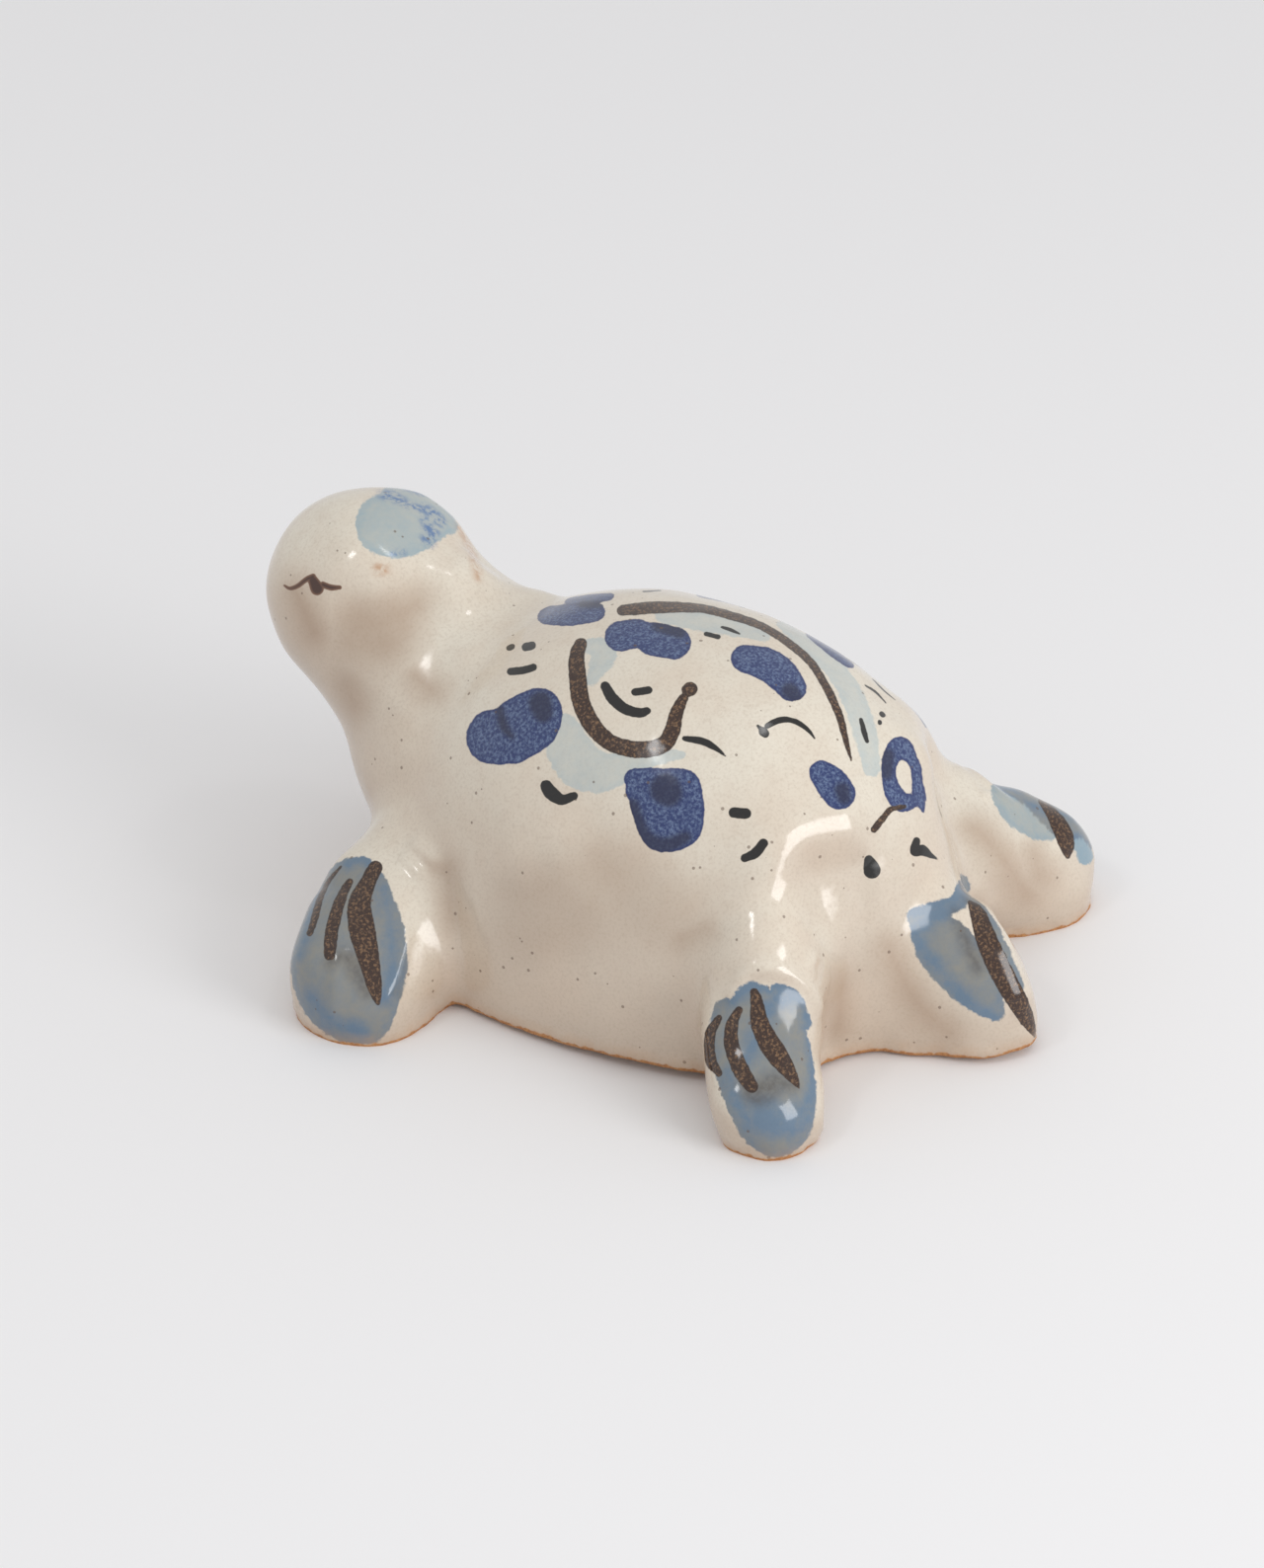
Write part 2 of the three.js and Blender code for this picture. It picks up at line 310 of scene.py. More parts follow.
TAIL_BROWN = {
    "ridge": (
        (982, 914, 0.25), (990, 925, 0.8), (997, 946, 1.05), (1007, 970, 1.15), (1019, 994, 1.15),
        (1030, 1013, 1.05), (1040, 1032, 0.8), (1048, 1049, 0.2),
    ),
}
FAR_FOOT_WASH = {
    "top": ((1010, 799, 0.7), (1018, 808, 1.3), (1032, 822, 1.7), (1048, 836, 1.4), (1064, 845, 0.6)),
    "nose": ((1094, 852, 0.9), (1099, 866, 1.0)),
}
FAR_FOOT_BROWN = {
    "stroke": (
        (1036, 797, 0.15), (1051, 807, 0.45), (1064, 822, 0.68), (1074, 838, 0.9), (1080, 854, 0.85),
        (1081, 867, 0.3),
    ),
}
FOOT_LOAD = {
    "rear foot, ball": ((764, 1118, 1.0), (780, 1132, 2.0), (796, 1140, 1.2)),
    "rear foot, top": ((744, 1012, 0.7), (760, 999, 0.9), (790, 998, 0.9), (812, 1010, 0.7)),
    "rear foot, rear edge": ((819, 1030, 0.4), (824, 1060, 0.5), (822, 1100, 0.5), (812, 1130, 0.5)),
    "rear foot, outer edge": ((736, 1085, 0.5), (744, 1110, 0.7), (758, 1138, 0.6)),
    "front foot, top": ((352, 876, 0.5), (368, 868, 0.7), (382, 876, 0.5)),
    "front foot, inner edge": ((388, 900, 0.3), (394, 930, 0.3), (398, 985, 0.7), (390, 1010, 0.7)),
    "front foot, ball": ((316, 1010, 0.8), (334, 1034, 0.8), (366, 1042, 0.8)),
    "front foot, outer edge": ((326, 900, 0.5), (312, 930, 0.5), (304, 970, 0.4)),
    "tail, top": ((924, 924, 0.6), (945, 920, 0.9), (966, 914, 0.9), (974, 896, 0.8)),
    "tail, low edge": ((930, 950, 0.5), (955, 985, 0.5), (985, 1018, 0.6), (1006, 1030, 0.6)),
    "far foot, nose": ((1092, 850, 0.7), (1100, 868, 0.8)),
    "far foot, top": ((1012, 797, 0.5), (1030, 797, 0.6)),
}
FOOT_SHADE = {
    "rear foot, under the strokes": (
        (752, 1100, 0.5), (768, 1108, 1.3), (786, 1096, 1.1), (802, 1100, 0.5),
    ),
    "front foot, under the strokes": ((334, 975, 0.4), (350, 968, 0.7), (362, 985, 0.9), (372, 1004, 0.6)),
    "tail, beside the ridge": ((968, 925, 0.5), (978, 950, 0.7), (990, 980, 0.6)),
}
RIGHT_COBALT = {
    "shoulder": ((505, 752, 2.4), (522, 742, 2.7), (536, 733, 2.2)),
    "flank": ((596, 858, 1.9), (610, 868, 2.2), (620, 880, 1.9)),
    "back": ((602, 716, 1.7), (622, 714, 1.8)),
    "hip": ((764, 846, 1.6), (778, 860, 1.8)),
}
RIGHT_LOAD = {
    "shoulder": ((530, 724, 0.9), (538, 730, 0.8)),
    "flank": ((614, 862, 1.0), (620, 872, 0.8)),
    "back": ((626, 708, 0.8), (630, 716, 0.7)),
    "hip": ((780, 858, 0.8), (782, 864, 0.7)),
}
RIGHT_BROWN = {
    "curl": (
        (644, 758, 0.4), (650, 782, 0.72), (668, 802, 0.86), (696, 810, 0.88), (720, 804, 0.8),
        (736, 788, 0.6), (740, 776, 0.45),
    ),
}
RIGHT_BLACK = {
    "shoulder dashes": ((548, 702, 0.38), (562, 700, 0.42)),
    "shoulder dashes, lower": ((570, 752, 0.38), (584, 750, 0.44)),
    "comma": ((520, 812, 0.5), (528, 821, 0.66), (542, 822, 0.42)),
    "dash in the curl": ((684, 774, 0.42), (700, 776, 0.42)),
    "flank dash": ((660, 876, 0.5), (676, 878, 0.52)),
    "flank comma": ((716, 896, 0.4), (728, 890, 0.52), (736, 880, 0.44)),
    "hook": ((770, 792, 0.32), (784, 796, 0.3), (796, 808, 0.12)),
    "drop": ((882, 872, 0.5), (886, 882, 0.8)),
}
RIGHT_WASH = {
    "under the curl": ((644, 822, 0.9), (668, 834, 1.6), (698, 838, 1.8), (728, 828, 1.0)),
}
RIGHT_FOOT_WASH = {
    "inner edge": ((806, 1012, 1.3), (824, 1045, 1.7), (834, 1085, 1.8), (828, 1120, 1.4)),
}
# Painted shade: patches where the slip is painted darker for shade on the cheek, the neck, beside and behind
# the feet, on the far foot and under the tail's mark.
PAINTED_SHADE = {
    "cheek": ((372, 640, 3.0), (392, 640, 3.2), (420, 612, 1.6)),
    "side of the neck": ((420, 684, 0.6), (436, 698, 0.8)),
    "front of the neck": ((352, 695, 1.0), (358, 715, 1.0)),
    "above the rear foot": ((690, 950, 1.0), (712, 940, 0.8)),
    "behind the rear foot": ((852, 1000, 0.8), (850, 1040, 0.8)),
    "beside the front foot": ((452, 880, 0.7), (456, 930, 0.8)),
    "far foot": ((985, 838, 1.4), (1000, 850, 1.6), (1040, 905, 0.8)),
    "far foot, side": ((1046, 862, 1.0), (1052, 885, 1.2)),
    "under the tail's mark": ((900, 960, 1.0), (925, 1010, 1.2), (960, 1045, 1.0)),
    "muzzle": ((300, 600, 0.8), (318, 640, 1.2)),
}
LEFT_RUST = {
    "nape": ((464, 532, 0.2), (473, 549, 0.4), (482, 570, 0.5), (484, 586, 0.2)),
    "under the cap": ((383, 576, 0.5), (389, 578, 0.5)),
}
# Painted shade over the lower flank, weaker than the patches above.
FLANK_PAINTED_SHADE = {
    "flank": ((540, 930, 4.0), (610, 900, 5.0), (680, 925, 4.0)),
}

# The hand's small moves on the finished lumps: millimetres out of the clay or into it, how wide the
# finger is, and the pixels that it goes through.
PRESSES = {
    "corner of the hip": (1.2, 3.8, ((776, 955), (776, 900), (787, 862), (809, 841), (850, 832))),
    "hollow of the hip": (-0.4, 3.0, ((828, 890), (832, 930))),
    "fold behind the hip": (-0.3, 1.8, ((869, 880), (871, 930), (866, 990))),
    "collar of the rear foot": (0.4, 0.9, ((745, 1006), (761, 985), (793, 986), (816, 999), (829, 1020))),
    "curl over the rear foot": (0.3, 0.5, ((823, 973), (818, 980), (821, 987))),
    "crease behind the rear foot": (-0.45, 1.4, ((836, 1020), (841, 1060))),
    "outer ridge of the front foot": (0.35, 0.8, ((346, 965), (342, 1000), (336, 1030))),
    "inner ridge of the front foot": (0.35, 0.8, ((410, 950), (402, 985), (391, 1008))),
    "shoulder fold": (0.35, 0.7, ((411, 869), (418, 876), (425, 884))),
    "shoulder fold, upper": (0.4, 0.8, ((422, 856), (430, 863), (439, 872))),
    "crease behind the front foot": (-0.4, 1.8, ((448, 890), (458, 950), (462, 1010))),
    "neck knuckle": (0.8, 2.8, ((456, 592), (463, 607), (470, 640), (472, 660))),
    "throat knuckle": (0.35, 2.6, ((418, 706), (412, 714))),
    "cheek": (0.15, 2.0, ((330, 580), (334, 584))),
    "shoulder swell": (0.5, 3.5, ((530, 868), (560, 866))),
    "back of the head": (0.75, 3.5, ((436, 506), (456, 522))),
    "nape": (-0.9, 3.2, ((494, 572), (512, 588))),
    "outer swell of the front foot": (1.5, 4.0, ((350, 885), (335, 905), (325, 935), (318, 965))),
    "outer swell of the rear foot": (1.3, 3.2, ((726, 1050), (728, 1080), (737, 1112))),
    "rear swell of the rear foot": (0.5, 2.0, ((828, 1100), (828, 1140))),
}
# The same, and not mirrored, as the rear feet and the tail's two sides differ.
LONE_PRESSES = {
    "crown of the far foot": (1.2, 4.5, ((1035, 815), (1060, 832))),
    "ridge of the tail": (0.6, 1.7, ((985, 903), (1010, 948), (1034, 1008))),
}
# Where the rim hangs lower than in the solids, as the presses are given.
RIM_DROP = (0.6, 3.5, ((872, 1060), (925, 1064)))

# How wide the soft edge of each loose pigment and of the painted shade is, in millimetres, and how strong the
# flank's painted shade is.
FADE = {
    "load": 0.7,
    "foot load": 1.6,
    "foot shade": 2.0,
    "stain": 0.8,
    "rust": 1.2,
    "toast": 5.0,
    "flank painted shade": 6.0,
}
FLANK_PAINTED_SHADE_SHARE = 0.45
# How much like the feet's wash each wash is.
WASH_TINTS = {"body wash": 0.1, "head wash": 0.3, "feet wash": 1.0, "far wash": 0.5}
# Marks whose edges get smaller faces, within this many millimetres.
FINE_MARKS = ("eye", "black", "brown")
FINE_REACH = 0.3
# What the pieces take over from the skin.
CARRIED = ("pooled", "bare")
# A face takes the skin's smooth normals where they agree with its own by more than this cosine.
FACES_SKIN = 0.3


def brush_line(points, steps=5):
    """Points close together on a smooth curve through the brush's points."""
    knots = [Vector(point) for point in points]
    line = []
    for i in range(len(knots) - 1):
        before = knots[max(i - 1, 0)]
        start, end = knots[i], knots[i + 1]
        after = knots[min(i + 2, len(knots) - 1)]
        for step in range(steps):
            t = step / steps
            bend = 2 * start + (end - before) * t + (2 * before - 5 * start + 4 * end - after) * t * t
            line.append((bend + (3 * start - before - 3 * end + after) * t**3) / 2)
    return line + [knots[-1]]


def length(name, description, default):
    """A length that the sidebar can show and change."""
    return FloatProperty(name=name, description=description, default=default, unit="LENGTH", precision=5)


class TurtleClay(bpy.types.PropertyGroup):
    """Sizes of the clay skin."""

    grid: length("Grid", "Spacing of the skin's faces", 0.4 * MM)
    bridge: length("Bridge", "How far the lumps swell to close their joints", 0.35 * MM)
    even_passes: IntProperty(name="Evening passes", description="Smoothing of the whole skin", default=24)
    joint_passes: IntProperty(name="Joint passes", description="Smoothing near the luted joints", default=320)
    shaved: FloatProperty(
        name="Shaved", description="Share of the joints' smoothing that may take clay away", default=0.12
    )
    wobble: length("Wobble", "Height of the hand's unevenness", 0.5 * MM)
    wobble_size: length("Wobble size", "Width of the hand's unevenness", 9 * MM)
    edge: length("Edge", "Height of the unevenness along rim and soles", 0.5 * MM)
    edge_size: length("Edge size", "Width of the unevenness along rim and soles", 2.2 * MM)
    seat: length("Seat", "How far round a lump its own piece reaches", 1.9 * MM)


class TurtleStage(bpy.types.PropertyGroup):
    """Floor and light."""

    floor_colour: FloatVectorProperty(
        name="Floor", description="Colour of the table", subtype="COLOR", default=(0.86, 0.855, 0.865)
    )
    sky: FloatProperty(name="Sky", description="Strength of the light from all round", default=0.75)
    key: FloatProperty(name="Key", description="Power of the low lamp on the right", default=1.4)
    top: FloatProperty(name="Top", description="Power of the high lamp on the right", default=0.08)
    fill: FloatProperty(name="Fill", description="Power of the lamp on the left", default=0.2)


# What is kept while the pieces are made: clay, spaces, the brush and the marks.
BENCH = {}


def kept(make):
    """Makes a thing when it is first asked for, and keeps it on the bench."""

    def kept_thing(*names):
        key = (make.__name__, *names)
        if key not in BENCH:
            BENCH[key] = make(*names)
        return BENCH[key]

    return kept_thing


def clear_bench():
    """Takes away what the pieces were made from."""
    for thing in BENCH.values():
        if isinstance(thing, bpy.types.Object):
            remove_object(thing)
    BENCH.clear()


def bare_copy(name):
    """A merged copy of a node as a bmesh."""
    shape = bmesh.new()
    shape.from_mesh(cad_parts[name].data)
    bmesh.ops.remove_doubles(shape, verts=shape.verts, dist=MERGE)
    return shape


def in_scene(name, data):
    """A new object in the scene."""
    thing = bpy.data.objects.new(name, data)
    bpy.context.scene.collection.objects.link(thing)
    return thing


def made_object(name, shape):
    """A new object that holds the bmesh, which is freed."""
    mesh = bpy.data.meshes.new(name)
    shape.to_mesh(mesh)
    shape.free()
    return in_scene(name, mesh)


def add_modifier(thing, kind, **settings):
    """A new modifier of a kind, with its settings."""
    modifier = thing.modifiers.new(kind.lower(), kind)
    for key, value in settings.items():
        setattr(modifier, key, value)
    return modifier


def settle_modifiers(thing):
    """Applies the object's modifiers to its mesh."""
    seen = thing.evaluated_get(bpy.context.evaluated_depsgraph_get())
    mesh = bpy.data.meshes.new_from_object(seen)
    old = thing.data
    thing.modifiers.clear()
    thing.data = mesh
    bpy.data.meshes.remove(old)


def remove_object(thing):
    """Takes an object and its mesh out of the file."""
    mesh = thing.data
    bpy.data.objects.remove(thing)
    bpy.data.meshes.remove(mesh)


def fused_lumps(clay):
    """All the lumps as one skin that is open underneath, its soles run down through the table."""
    shape = bmesh.new()
    for name in (BODY,) + LUMPS:
        shape.from_mesh(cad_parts[name].data)
    bmesh.ops.remove_doubles(shape, verts=shape.verts, dist=MERGE)
    soles = [vert for vert in shape.verts if vert.co.z < SOLE_LEVEL]
    bmesh.ops.translate(shape, verts=soles, vec=(0, 0, -SOLE_DEPTH))
    skin = made_object("clay_skin", shape)
    add_modifier(skin, "DISPLACE", strength=clay.bridge, mid_level=0)
    add_modifier(skin, "REMESH", mode="VOXEL", voxel_size=clay.grid, use_smooth_shade=True)
    add_modifier(skin, "SMOOTH", factor=0.5, iterations=clay.even_passes)
    add_modifier(skin, "DISPLACE", strength=-clay.bridge, mid_level=0)
    settle_modifiers(skin)
    return skin


def node_trees():
    """A search tree for each node's solid."""
    trees = {}
    for name in (BODY,) + LUMPS:
        shape = bare_copy(name)
        trees[name] = BVHTree.FromBMesh(shape)
        shape.free()
    return trees


def surface_arrays(mesh):
    """Places in millimetres and normals of a mesh's points."""
    places = np.zeros(len(mesh.vertices) * 3, np.float32)
    mesh.vertices.foreach_get("co", places)
    normals = np.zeros(len(mesh.vertices) * 3, np.float32)
    mesh.vertices.foreach_get("normal", normals)
    return places.reshape(-1, 3).astype(float) / MM, normals.reshape(-1, 3).astype(float)


def place_points(mesh, places):
    """Puts a mesh's points at places in millimetres."""
    mesh.vertices.foreach_set("co", (places * MM).astype(np.float32).ravel())
    mesh.update()


def add_values(mesh, name, values):
    """Keeps one number for each point of a mesh as an attribute."""
    if name in mesh.attributes:
        mesh.attributes.remove(mesh.attributes[name])
    mesh.attributes.new(name, "FLOAT", "POINT").data.foreach_set("value", values.astype(np.float32))


def smooth_step(values):
    """Carries values smoothly from 0 to 1 and holds them there."""
    held = np.clip(values, 0, 1)
    return held * held * (3 - 2 * held)


def fill_joints(skin, clay):
    """Fills the valleys where lumps meet, as slip and a thumb do, and keeps how much as an attribute."""
    trees = node_trees()
    group = skin.vertex_groups.new(name="joint")
    farthest = max(BLEND.values())
    for vert in skin.data.vertices:
        body_gap = trees[BODY].find_nearest(vert.co, farthest)[3]
        gaps = [(name, trees[name].find_nearest(vert.co, BLEND[name])[3]) for name in LUMPS]
        near = [(name, gap) for name, gap in gaps if gap is not None]
        weight = 0
        for name, gap in near:
            others = [other for key, other in near if key != name]
            if body_gap is not None:
                others.append(body_gap)
            if others:
                weight = max(weight, 1 - max(gap, min(others)) / BLEND[name])
        if weight > 0:
            group.add([vert.index], weight * weight * (3 - 2 * weight), "REPLACE")
    places, normals = surface_arrays(skin.data)
    add_modifier(skin, "SMOOTH", factor=0.5, iterations=clay.joint_passes, vertex_group="joint")
    settle_modifiers(skin)
    moves = surface_arrays(skin.data)[0] - places
    outward = (moves * normals).sum(1)
    place_points(skin.data, places + moves * np.where(outward > 0, 1, clay.shaved)[:, None])
    add_values(skin.data, "pooled", smooth_step(outward / POOL_RISE))


def swell(places, path, height, width):
    """How far a press moves each place, falling off like a bell beside its path."""
    return height * np.exp(-((path_gap(places, path, PRESS_REACH) / width) ** 2))


def press_clay(skin):
    """The hand's small moves on the skin and its rim."""
    brush = Brush(skin)
    places, normals = surface_arrays(skin.data)
    moves = np.zeros(len(places))
    presses = [(press, side) for press in PRESSES.values() for side in (1, -1)]
    presses += [(press, 1) for press in LONE_PRESSES.values()]
    for (height, width, pixels), side in presses:
        path = brush.path(PhotoView(side), [(x, y, 0) for x, y in pixels])
        moves += swell(places, path, height, width)
    places += normals * moves[:, None]
    height, width, pixels = RIM_DROP
    path = brush.path(PhotoView(), [(x, y, 0) for x, y in pixels])
    places[:, 2] -= swell(places, path, height, width)
    place_points(skin.data, places)


def clouds(name, size):
    """Soft noise with lumps of a size."""
    texture = bpy.data.textures.new(name, "CLOUDS")
    texture.noise_scale = size
    texture.noise_depth = 1
    return texture


@kept
def clay_skin():
    """The one skin that every piece is cut from."""
    clay = bpy.context.scene.turtle_clay
    skin = fused_lumps(clay)
    fill_joints(skin, clay)
    add_modifier(skin, "SMOOTH", factor=0.5, iterations=8)
    settle_modifiers(skin)
    press_clay(skin)
    hand = clouds("hand", clay.wobble_size)
    low_edge = skin.vertex_groups.new(name="low_edge")
    for vert in skin.data.vertices:
        share = (LOW_EDGE_TOP - vert.co.z) / (LOW_EDGE_TOP - LOW_EDGE_FULL)
        if share > 0:
            low_edge.add([vert.index], min(1, share), "REPLACE")
    add_modifier(skin, "DISPLACE", texture=hand, strength=clay.wobble, mid_level=0.5)
    edge = {"texture": clouds("edge", clay.edge_size), "strength": clay.edge, "mid_level": 0.5}
    add_modifier(skin, "DISPLACE", vertex_group="low_edge", **edge)
    add_modifier(skin, "SMOOTH", factor=0.5, iterations=2)
    settle_modifiers(skin)
    add_values(skin.data, "bare", bare_distance(*surface_arrays(skin.data)))
    return skin


def bare_distance(places, normals):
    """Millimetres from each point to the clay that the glaze leaves bare: soles, rim and hollow."""
    low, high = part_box(BODY)
    half = np.array(high - low) / MM / 2
    half[2] = (high.z - low.z) / MM
    middle = np.array([(low.x + high.x) / 2, (low.y + high.y) / 2, 0]) / MM
    off = places - middle
    within = (np.abs(off / (half - WALL_MIDDLE)) ** DOME_SQUARE).sum(1) < 1
    inside = within & ((off * normals).sum(1) < 0)
    under_rim = (normals[:, 2] < RIM_FACING) & (places[:, 2] < RIM_HEIGHT)
    bare = inside | under_rim | (places[:, 2] < TABLE_HEIGHT)
    tree = KDTree(int(bare.sum()))
    for index in np.flatnonzero(bare):
        tree.insert(places[index], int(index))
    tree.balance()
    gap = np.zeros(len(places))
    for index in np.flatnonzero(~bare):
        gap[index] = min(tree.find(places[index])[2], FAR)
    return gap


def flat_soled(skin):
    """A closed bmesh of the skin, cut flat at the table."""
    shape = bmesh.new()
    shape.from_mesh(skin.data)
    everything = shape.verts[:] + shape.edges[:] + shape.faces[:]
    table = {"plane_co": (0, 0, 0), "plane_no": (0, 0, 1)}
    bmesh.ops.bisect_plane(shape, geom=everything, dist=MERGE / 10, clear_inner=True, **table)
    rims = [edge for edge in shape.edges if edge.is_boundary]
    bmesh.ops.holes_fill(shape, edges=rims)
    bmesh.ops.triangulate(shape, faces=shape.faces[:])
    return shape


@kept
def standing_clay():
    """The skin cut flat at the table and closed."""
    return made_object("standing_clay", flat_soled(clay_skin()))


@kept
def lump_space(name):
    """The space round a lump."""
    space = made_object(name + "_space", bare_copy(name))
    add_modifier(space, "DISPLACE", strength=bpy.context.scene.turtle_clay.seat, mid_level=0)
    add_modifier(space, "REMESH", mode="VOXEL", voxel_size=2 * bpy.context.scene.turtle_clay.grid)
    add_modifier(space, "SMOOTH", factor=0.5, iterations=4)
    add_modifier(space, "TRIANGULATE")
    settle_modifiers(space)
    return space


def cut(thing, space, operation):
    """Joins a space to a thing, or cuts with it."""
    add_modifier(thing, "BOOLEAN", object=space, operation=operation, solver="MANIFOLD")
    settle_modifiers(thing)


def cut_piece(name):
    """A piece cut from the clay along its luted joint, as a closed solid.

    The clay is cut in one go, with a space that is worked out first, because a second cut would
    drop points from the first cut's rim and leave a crack beside the neighbour.
    """
    piece = in_scene(name + "_glazed", standing_clay().data.copy())
    if name == BODY:
        space = in_scene("whole_space", lump_space(LUMPS[0]).data.copy())
        for other in LUMPS[1:]:
            cut(space, lump_space(other), "UNION")
        cut(piece, space, "DIFFERENCE")
    else:
        space = in_scene("whole_space", lump_space(name).data.copy())
        for other in LUMPS[: LUMPS.index(name)]:
            cut(space, lump_space(other), "DIFFERENCE")
        cut(piece, space, "INTERSECT")
    remove_object(space)
    return piece


class Brush:
    """Lifts strokes from a view onto the skin."""

    def __init__(self, skin):
        self.tree = BVHTree.FromObject(skin, bpy.context.evaluated_depsgraph_get())

    def touch(self, view, x, y):
        """The point of the skin that shows at a pixel, or the nearest to its line of sight."""
        aim = view.toward(x, y)
        hit = self.tree.ray_cast(view.eye, aim)[0]
        if hit is None:
            reaches = [PHOTO_DISTANCE + step * MM for step in SIGHT_STEPS]
            found = [self.tree.find_nearest(view.eye + aim * reach) for reach in reaches]
            hit = min(found, key=lambda entry: entry[3])[0]
        return np.array(hit) / MM

    def path(self, view, points):
        """A stroke as places on the skin and the brush's half width at each."""
        line = brush_line(points)
        return np.array([[*self.touch(view, x, y), radius] for x, y, radius in line])


def path_gap(places, path, reach):
    """How far places are from the edge of a stroke, negative under it, up to a reach."""
    nearest = np.full(len(places), float(reach))
    margin = path[:, 3].max() + reach
    low, high = path[:, :3].min(0) - margin, path[:, :3].max(0) + margin
    near = np.flatnonzero(((places > low) & (places < high)).all(1))
    here = places[near]
    least = nearest[near]
    for start, end in zip(path, path[1:]):
        along = end[:3] - start[:3]
        share = np.clip((here - start[:3]) @ along / max(along @ along, 1e-9), 0, 1)
        gap = np.linalg.norm(here - start[:3] - share[:, None] * along, axis=1)
        least = np.minimum(least, gap - start[3] - share * (end[3] - start[3]))
    nearest[near] = least
    return nearest


class Mark:
    """Strokes of one colour, as they show in one view."""

    def __init__(self, strokes, side=1):
        self.view = PhotoView(side)
        self.paths = []
        for points in strokes.values():
            path = bench_brush().path(self.view, points)
            self.paths.append(np.hstack([self.view.seen(path[:, :3]), path[:, 3:]]))

    def gap(self, places, normals):
        """Millimetres from each point to the marks' edge, negative under them."""
        seen = self.view.seen(places)
        nearest = np.min([path_gap(seen, path, FAR) for path in self.paths], axis=0)
        away = np.clip(-normals @ np.array(self.view.back) - TURNED_AWAY, 0, 1)
        return nearest + away * AWAY_COST


def both_sides(*tables):
    """The same strokes as they show in the photograph and in its mirror view."""
    return [Mark(strokes, side) for strokes in tables for side in (1, -1)]


@kept
def bench_brush():
    """The brush that paints the one skin."""
    return Brush(clay_skin())


@kept
def bench_marks():
    """Every painted mark, lifted onto the clay."""
    feet = (FRONT_FOOT_WASH, REAR_FOOT_WASH)
    rear_outside = {name: REAR_FOOT_BROWN[name] for name in ("outer", "middle")}
    return {
        "body wash": [Mark(LEFT_WASH), Mark(RIGHT_WASH, -1)],
        "head wash": [Mark(HEAD_WASH)],
        "feet wash": both_sides(*feet) + [Mark(TAIL_WASH), Mark(RIGHT_FOOT_WASH, -1)],
        "far wash": [Mark(FAR_FOOT_WASH)],
        "foot load": both_sides(FOOT_LOAD),
        "foot shade": both_sides(FOOT_SHADE),
        "cobalt": [Mark(LEFT_COBALT), Mark(RIGHT_COBALT, -1)],
        "stain": [Mark(HEAD_STAIN)],
        "load": [Mark(LEFT_LOAD), Mark(RIGHT_LOAD, -1)],
        "brown": [Mark(LEFT_BROWN), Mark(RIGHT_BROWN, -1), Mark(TAIL_BROWN), Mark(FAR_FOOT_BROWN)]
        + both_sides(FRONT_FOOT_BROWN)
        + [Mark(REAR_FOOT_BROWN), Mark(rear_outside, -1)],
        "eye": both_sides(EYE),
        "black": [Mark(LEFT_BLACK), Mark(RIGHT_BLACK, -1)],
        "rust": [Mark(LEFT_RUST)],
        # Painted shade, in patches and over the flank.
        "toast": [Mark(PAINTED_SHADE)],
        "flank painted shade": [Mark(FLANK_PAINTED_SHADE)],
    }


def mark_gap(name, places, normals):
    """Millimetres from each point to the nearest mark of a kind, negative under it."""
    return np.min([mark.gap(places, normals) for mark in bench_marks()[name]], axis=0)


def refine_at_marks(piece, rounds=1):
    """Smaller faces where the edge of a fine mark runs."""
    for _ in range(rounds):
        places, normals = surface_arrays(piece.data)
        gaps = [np.abs(mark_gap(name, places, normals)) for name in FINE_MARKS]
        edge = np.min(gaps, axis=0) < FINE_REACH
        shape = bmesh.new()
        shape.from_mesh(piece.data)
        shape.edges.ensure_lookup_table()
        near = [line for line in shape.edges if edge[line.verts[0].index] or edge[line.verts[1].index]]
        if near:
            bmesh.ops.subdivide_edges(shape, edges=near, cuts=1, use_grid_fill=True)
        shape.to_mesh(piece.data)
        shape.free()


def soft_cover(name, places, normals):
    """How much of a loose pigment or of the painted shade lies on each point, fading across its edge."""
    return smooth_step(0.5 - mark_gap(name, places, normals) / FADE[name])


def painted_values(places, normals):
    """What the glaze needs to know at each point, by the attribute's name."""
    washes = np.stack([mark_gap(name, places, normals) for name in WASH_TINTS])
    # Painted shade: how much darker slip lies on each point, weaker over the flank.
    toast = soft_cover("toast", places, normals)
    flank_painted_shade = FLANK_PAINTED_SHADE_SHARE * soft_cover("flank painted shade", places, normals)
    values = {
        "wash": washes.min(0),
        "wash_tint": np.array(list(WASH_TINTS.values()))[washes.argmin(0)],
        "cobalt_load": soft_cover("load", places, normals),
        "toast": np.maximum(toast, flank_painted_shade),
        # How much each point faces up, which sets the slip's painted light on top and painted shade on the
        # sides.
        "upward": normals[:, 2],
    }
    for name in ("cobalt", "brown", "eye", "black"):
        values[name] = mark_gap(name, places, normals)
    for name in ("foot load", "foot shade", "stain", "rust"):
        values[name.replace(" ", "_")] = soft_cover(name, places, normals)
    return values


